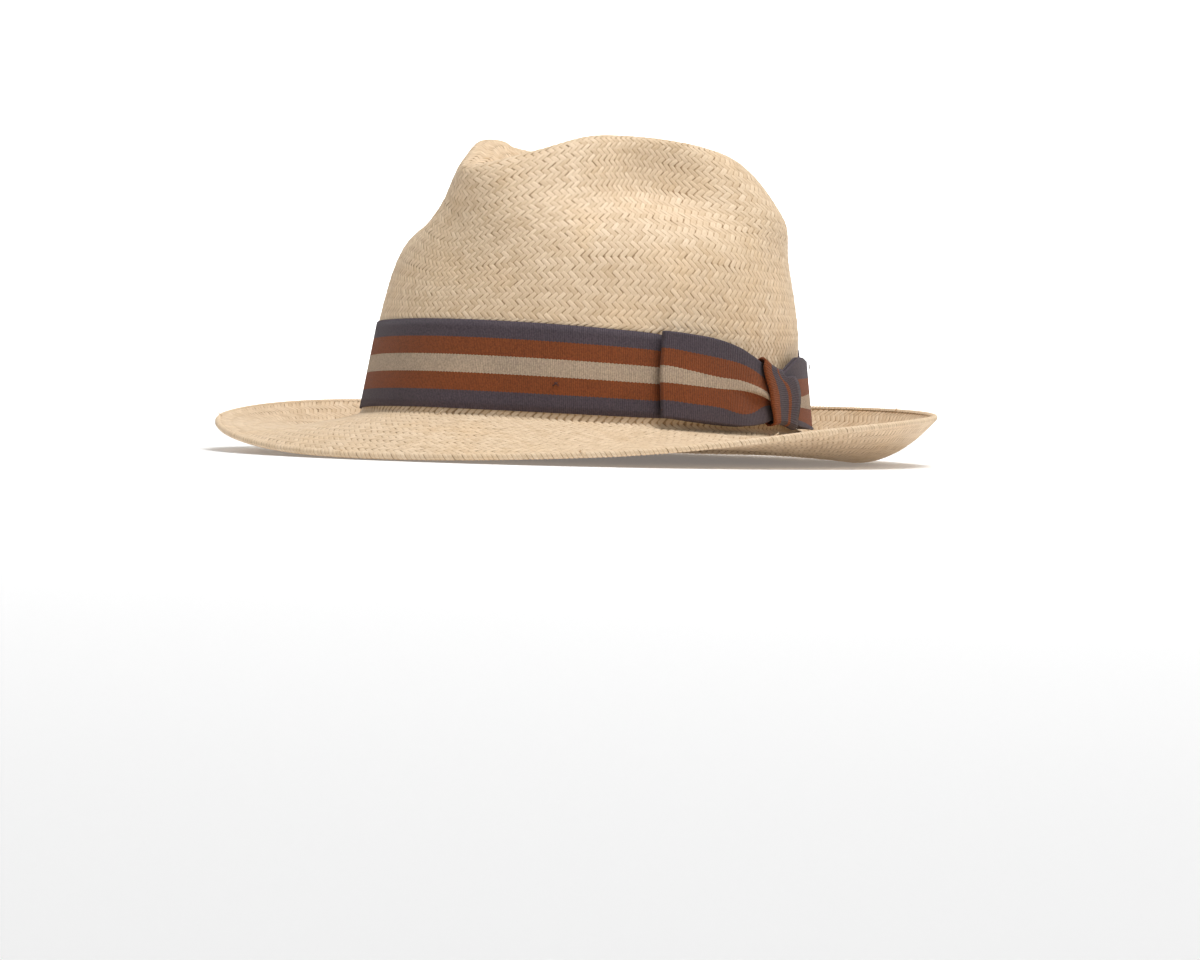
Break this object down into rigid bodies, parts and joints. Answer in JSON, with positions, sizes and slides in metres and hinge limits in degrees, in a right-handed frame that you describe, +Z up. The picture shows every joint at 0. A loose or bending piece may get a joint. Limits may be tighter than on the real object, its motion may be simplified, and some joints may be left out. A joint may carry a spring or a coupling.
{
  "type": "straw trilby hat",
  "caption": "Woven straw trilby with a pinched teardrop crown, a turned-down front brim and a striped ribbon tied in a flat bow at the side.",
  "frame": {"origin": "on the surface that the brim rests on, below the middle of the hat's bounding box", "axes": "+Z up; -Y the front, where the crown is pinched; +X the wearer's left, where the bow is"},
  "size_m": [0.2902, 0.3276, 0.1347],
  "materials": {
    "straw": "matt natural straw, woven",
    "ribbon": "matt ribbed ribbon with grey, rust and beige stripes"
  },
  "bodies": {
    "root": {"straw_body": "straw", "ribbon_band": "ribbon", "bow": "ribbon", "bow_knot": "ribbon"}
  },
  "joints": []
}
